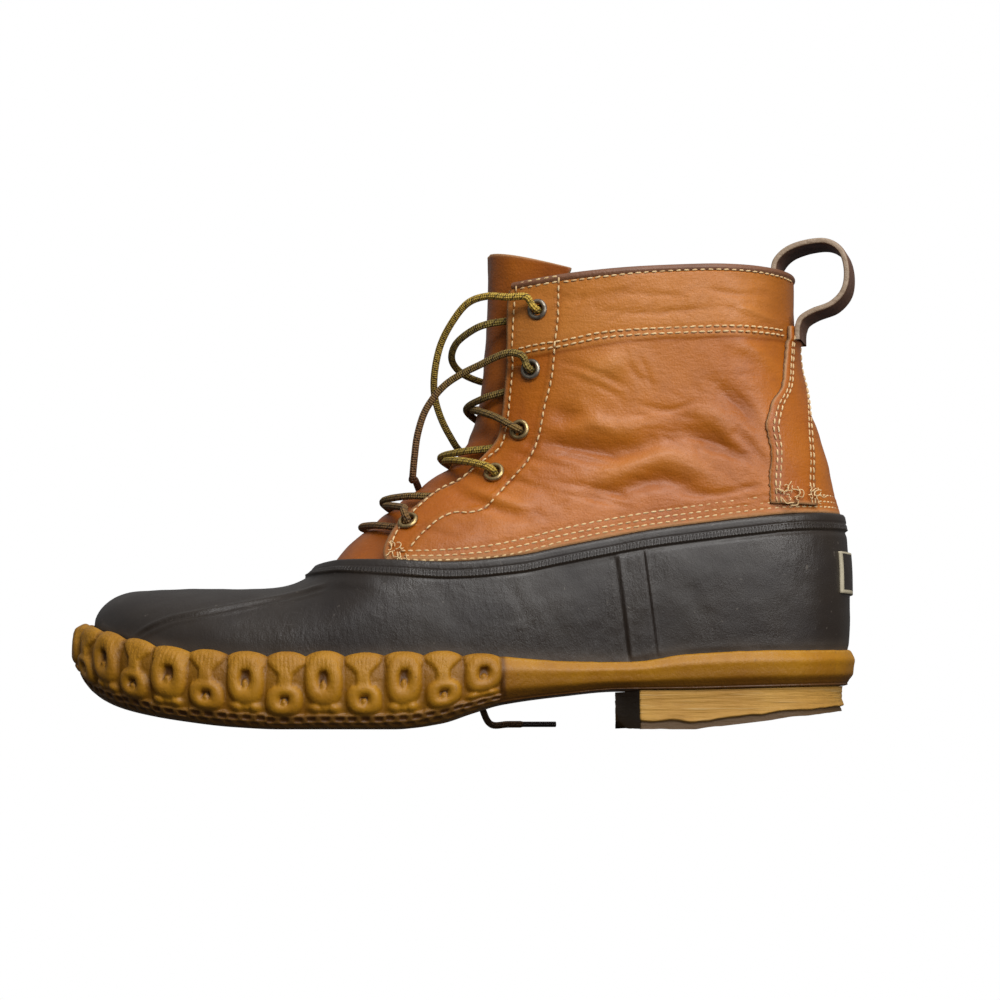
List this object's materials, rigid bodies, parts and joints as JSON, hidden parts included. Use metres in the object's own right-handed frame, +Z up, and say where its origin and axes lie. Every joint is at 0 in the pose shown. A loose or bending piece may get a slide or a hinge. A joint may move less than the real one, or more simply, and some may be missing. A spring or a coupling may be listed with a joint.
{
  "type": "duck boot",
  "caption": "Worn laced duck boot: brown rubber bottom, tan leather shaft, mustard chain-ribbed sole with a heel and a pull loop at the back.",
  "frame": {"origin": "middle of the box's underside, on the plane the boot stands on", "axes": "+X from the toe to the heel, +Y to the inner side of the foot, +Z up"},
  "size_m": [0.317, 0.1397, 0.1953],
  "materials": {
    "gum_rubber": "worn satin",
    "heel_rubber": "scuffed matte",
    "brown_rubber": "dull sheen",
    "tan_leather": "waxed, creased",
    "brown_leather": "matte",
    "footbed": "matte",
    "eyelet_nickel": "dull",
    "eyelet_brass": "tarnished",
    "lace_cord": "braided"
  },
  "bodies": {
    "root": {"outsole": "gum_rubber", "heel_block": "heel_rubber", "insole": "footbed", "rubber_bottom": "brown_rubber", "upper": "tan_leather", "tongue": "tan_leather", "collar_binding": "brown_leather", "backstay": "tan_leather", "pull_loop": "brown_leather", "eyelet_outer_1": "eyelet_nickel", "eyelet_outer_2": "eyelet_nickel", "eyelet_outer_3": "eyelet_brass", "eyelet_outer_4": "eyelet_brass", "eyelet_outer_5": "eyelet_brass", "eyelet_inner_1": "eyelet_nickel", "eyelet_inner_2": "eyelet_nickel", "eyelet_inner_3": "eyelet_brass", "eyelet_inner_4": "eyelet_brass", "eyelet_inner_5": "eyelet_brass", "lace_cross_54": "lace_cord", "lace_cross_43": "lace_cord", "lace_cross_32": "lace_cord", "lace_bar_bottom": "lace_cord", "lace_bar_top": "lace_cord", "lace_loop": "lace_cord", "lace_end": "lace_cord"}
  },
  "joints": []
}
